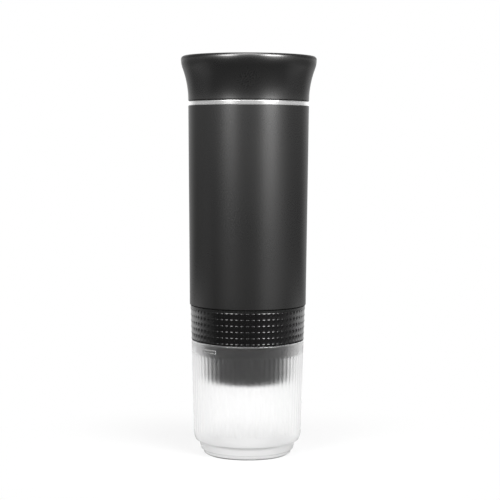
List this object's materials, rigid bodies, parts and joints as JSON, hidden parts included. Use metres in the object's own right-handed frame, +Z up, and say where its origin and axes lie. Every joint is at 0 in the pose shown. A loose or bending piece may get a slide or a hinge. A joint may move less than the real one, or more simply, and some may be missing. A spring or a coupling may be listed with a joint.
{
  "type": "portable electric espresso maker",
  "caption": "Upright portable espresso maker: flared screw lid, tapered black body with pump and heater, studded grip band on the brew head, and a ribbed clear cup screwed on below.",
  "frame": {"origin": "middle of the circle that the cup stands on", "axes": "+Z up along the object's axis, -Y the pictured front, +Y the side with the controls"},
  "size_m": [0.0816, 0.0816, 0.2401],
  "materials": {
    "cup_clear": "frosted clear copolyester",
    "seal": "soft silicone",
    "head_black": "satin moulded",
    "grip_black": "gloss moulded with fine studs",
    "steel": "stainless, brushed",
    "body_black": "matt black paint",
    "lid_black": "satin black",
    "lid_disc": "fine matt black",
    "inner_plastic": "moulded",
    "heater": "bare metal",
    "thermostat": "moulded",
    "hose": "translucent silicone",
    "cell": "sleeved steel can",
    "post": "turned",
    "board": "green solder mask",
    "light": "diffusing white",
    "control_black": "soft touch",
    "bezel": "satin black",
    "ring": "satin bright metal"
  },
  "bodies": {
    "cup": {"cup": "cup_clear"},
    "cup_seal": {"cup_gasket": "seal"},
    "brew_head": {"brew_head": "head_black", "grip_sleeve": "grip_black", "outlet_shroud": "head_black", "shroud_screw_1": "steel", "shroud_screw_2": "steel", "shroud_screw_3": "steel", "spout": "head_black", "coffee_basket": "steel", "puck_screen": "steel"},
    "head_seal": {"head_gasket": "seal"},
    "housing": {"outer_shell": "body_black", "base_collar": "inner_plastic", "shower_screen": "steel", "shower_screw": "steel", "boiler": "steel", "heater_ring": "heater", "thermostat": "thermostat", "feed_pipe": "hose", "lower_deck": "inner_plastic", "battery_cell_1": "cell", "battery_cell_2": "cell", "battery_cell_3": "cell", "cell_strap_bottom": "steel", "cell_strap_top": "steel", "pump_head": "inner_plastic", "pump_motor": "steel", "suction_hose": "hose", "chassis_post_1": "post", "chassis_post_2": "post", "main_board": "board", "usb_socket": "steel", "push_switch": "inner_plastic", "indicator_lights": "light", "light_ring": "light", "port_bezel": "bezel", "upper_deck": "inner_plastic", "tank": "steel", "tank_fitting": "steel", "tank_collar": "inner_plastic", "trim_ring": "ring"},
    "pump_rotor": {"motor_shaft": "steel", "wobble_plate": "inner_plastic"},
    "power_button": {"power_button": "control_black"},
    "port_cover": {"port_cover": "control_black"},
    "lid_seal": {"lid_gasket": "seal"},
    "lid": {"lid_shell": "lid_black", "lid_liner": "inner_plastic", "lid_plate": "lid_disc", "vent_valve": "seal"}
  },
  "joints": [
    {"name": "cup_lift", "type": "slide", "parent": "cup", "child": "cup_seal", "axis": [0, 0, 1], "range_m": [0, 0.01]},
    {"name": "cup_turn", "type": "hinge", "parent": "cup_seal", "child": "brew_head", "pos_m": [0, 0, 0], "axis": [0, 0, 1], "range_deg": [0, 150]},
    {"name": "head_lift", "type": "slide", "parent": "brew_head", "child": "head_seal", "axis": [0, 0, 1], "range_m": [0, 0.01]},
    {"name": "head_turn", "type": "hinge", "parent": "head_seal", "child": "housing", "pos_m": [0, 0, 0], "axis": [0, 0, 1], "range_deg": [0, 150]},
    {"name": "lid_lift", "type": "slide", "parent": "housing", "child": "lid_seal", "axis": [0, 0, 1], "range_m": [0, 0.01]},
    {"name": "lid_turn", "type": "hinge", "parent": "lid_seal", "child": "lid", "pos_m": [0, 0, 0], "axis": [0, 0, 1], "range_deg": [0, 150]},
    {"name": "button_press", "type": "slide", "parent": "housing", "child": "power_button", "axis": [0, -1, 0], "range_m": [0, 0.0008], "stiffness_N_per_m": 900},
    {"name": "port_cover_open", "type": "hinge", "parent": "housing", "child": "port_cover", "pos_m": [0, 0.03522, 0.1218], "axis": [-1, 0, 0], "range_deg": [0, 95]},
    {"name": "pump_spin", "type": "hinge", "parent": "housing", "child": "pump_rotor", "pos_m": [0, 0, 0.12], "axis": [0, 0, 1], "continuous": true}
  ],
  "couplings": [
    {"joint": "cup_lift", "follows": "cup_turn", "m_per_rad": 0.0038197},
    {"joint": "head_lift", "follows": "head_turn", "m_per_rad": 0.0038197},
    {"joint": "lid_lift", "follows": "lid_turn", "m_per_rad": 0.0038197}
  ]
}
